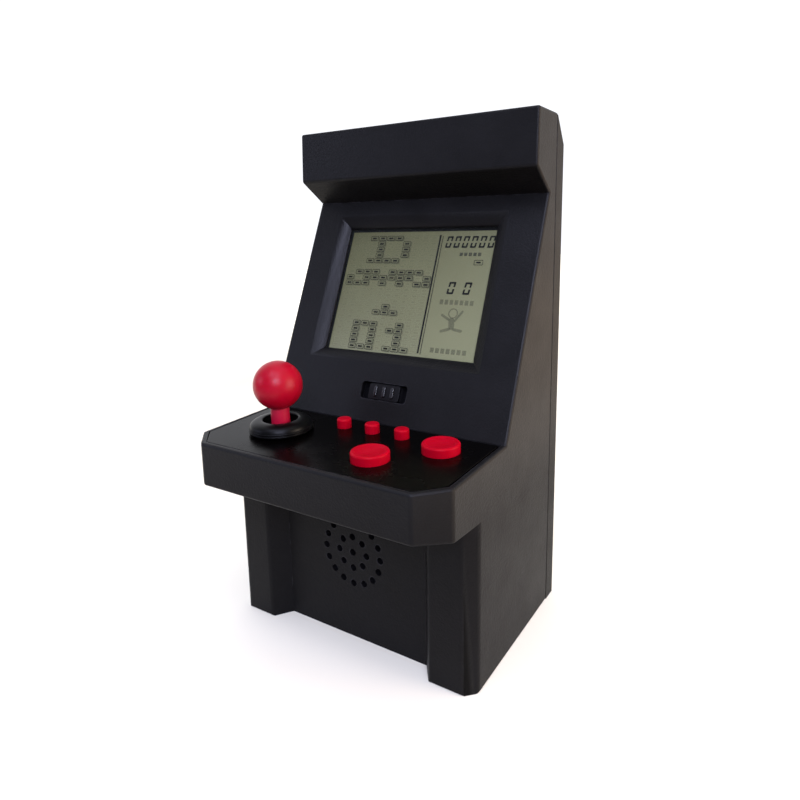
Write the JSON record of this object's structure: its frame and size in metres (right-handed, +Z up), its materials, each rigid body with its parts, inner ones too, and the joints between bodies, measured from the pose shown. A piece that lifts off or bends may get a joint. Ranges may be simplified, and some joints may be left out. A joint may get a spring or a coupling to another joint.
{
  "type": "bartop arcade cabinet",
  "caption": "Small tabletop arcade cabinet with a recessed liquid crystal screen, ball-top joystick, push buttons, slide switch, speaker grille and battery door.",
  "frame": {"origin": "centre of the bounding box's bottom face, on the surface that the cabinet stands on", "axes": "+X to the player's right, +Y from the player towards the back cover, +Z up"},
  "size_m": [0.083, 0.0754, 0.15],
  "materials": {
    "shell_plastic": "fine spark-eroded texture, near-black",
    "cover_plastic": "fine spark-eroded texture, near-black",
    "deck_plastic": "satin black, smooth",
    "collar_plastic": "satin black",
    "red_plastic": "semi-gloss red",
    "white_plastic": "natural acetal",
    "inner_plastic": "black moulded plastic",
    "window_plastic": "clear polished acrylic",
    "lcd_glass": "reflective twisted-nematic display glass",
    "zebra_rubber": "layered conductive rubber",
    "keypad_rubber": "silicone rubber",
    "circuit_board": "green solder mask",
    "board_component": "small electronic parts",
    "chip_resin": "black epoxy drop",
    "contact_metal": "gilt spring sheet",
    "steel": "zinc-plated steel",
    "spring_steel": "nickel-plated spring wire",
    "magnet": "ferrite magnet in a steel cup",
    "speaker_paper": "doped paper cone",
    "wire_insulation": "PVC insulated wire",
    "ribbon": "grey ribbon cable",
    "cell_jacket": "printed plastic jacket"
  },
  "bodies": {
    "root": {"front_shell": "shell_plastic", "back_cover": "cover_plastic", "control_deck": "deck_plastic", "joystick_collar": "collar_plastic", "joystick_spring": "spring_steel", "spring_washer": "white_plastic", "joystick_contacts": "contact_metal", "keypad_mat": "keypad_rubber", "control_board": "circuit_board", "ribbon_cable": "ribbon", "screen_window": "window_plastic", "lcd_glass": "lcd_glass", "lcd_frame": "inner_plastic", "zebra_strips": "zebra_rubber", "main_board": "circuit_board", "chip_blob": "chip_resin", "board_parts": "board_component", "switch_case": "steel", "speaker_frame": "steel", "speaker_cone": "speaker_paper", "speaker_magnet": "magnet", "speaker_clamp": "inner_plastic", "speaker_wires": "wire_insulation", "battery_cells": "cell_jacket", "battery_springs": "spring_steel", "battery_plates": "spring_steel", "battery_wires": "wire_insulation", "back_screws": "steel", "deck_screws": "steel", "control_board_screws": "steel", "main_board_screws": "steel", "speaker_screws": "steel"},
    "stick_gimbal": {"joystick_gimbal": "white_plastic"},
    "stick": {"joystick_ball": "red_plastic", "joystick_shaft": "red_plastic", "joystick_cross_pin": "steel", "joystick_actuator": "white_plastic"},
    "button_a": {"button_a": "red_plastic"},
    "button_b": {"button_b": "red_plastic"},
    "small_button_left": {"small_button_left": "red_plastic"},
    "small_button_middle": {"small_button_middle": "red_plastic"},
    "small_button_right": {"small_button_right": "red_plastic"},
    "switch": {"switch_knob": "inner_plastic", "switch_lever": "white_plastic"},
    "battery_door": {"battery_door": "cover_plastic", "door_screw": "steel"}
  },
  "joints": [
    {"name": "joystick_fore_aft", "type": "hinge", "parent": "root", "child": "stick_gimbal", "pos_m": [-0.0212, -0.01938, 0.05934], "axis": [1, 0, 0], "range_deg": [-13, 13], "stiffness_Nm_per_rad": 0.05, "deforming": ["joystick_spring"]},
    {"name": "joystick_side", "type": "hinge", "parent": "stick_gimbal", "child": "stick", "pos_m": [-0.0212, -0.01938, 0.05934], "axis": [0, 0.9993, 0.0375], "range_deg": [-13, 13], "stiffness_Nm_per_rad": 0.05, "deforming": ["joystick_spring"]},
    {"name": "button_a_press", "type": "slide", "parent": "root", "child": "button_a", "axis": [0, 0.0375, -0.9993], "range_m": [0, 0.0012], "stiffness_N_per_m": 500, "deforming": ["keypad_mat"]},
    {"name": "button_b_press", "type": "slide", "parent": "root", "child": "button_b", "axis": [0, 0.0375, -0.9993], "range_m": [0, 0.0012], "stiffness_N_per_m": 500, "deforming": ["keypad_mat"]},
    {"name": "small_button_left_press", "type": "slide", "parent": "root", "child": "small_button_left", "axis": [0, 0.0375, -0.9993], "range_m": [0, 0.0009], "stiffness_N_per_m": 400, "deforming": ["keypad_mat"]},
    {"name": "small_button_middle_press", "type": "slide", "parent": "root", "child": "small_button_middle", "axis": [0, 0.0375, -0.9993], "range_m": [0, 0.0009], "stiffness_N_per_m": 400, "deforming": ["keypad_mat"]},
    {"name": "small_button_right_press", "type": "slide", "parent": "root", "child": "small_button_right", "axis": [0, 0.0375, -0.9993], "range_m": [0, 0.0009], "stiffness_N_per_m": 400, "deforming": ["keypad_mat"]},
    {"name": "power_switch", "type": "slide", "parent": "root", "child": "switch", "axis": [1, 0, 0], "range_m": [-0.0022, 0.0022]},
    {"name": "battery_door_hinge", "type": "hinge", "parent": "root", "child": "battery_door", "pos_m": [0, 0.0366, 0.0063], "axis": [-1, 0, 0], "range_deg": [0, 90]}
  ]
}
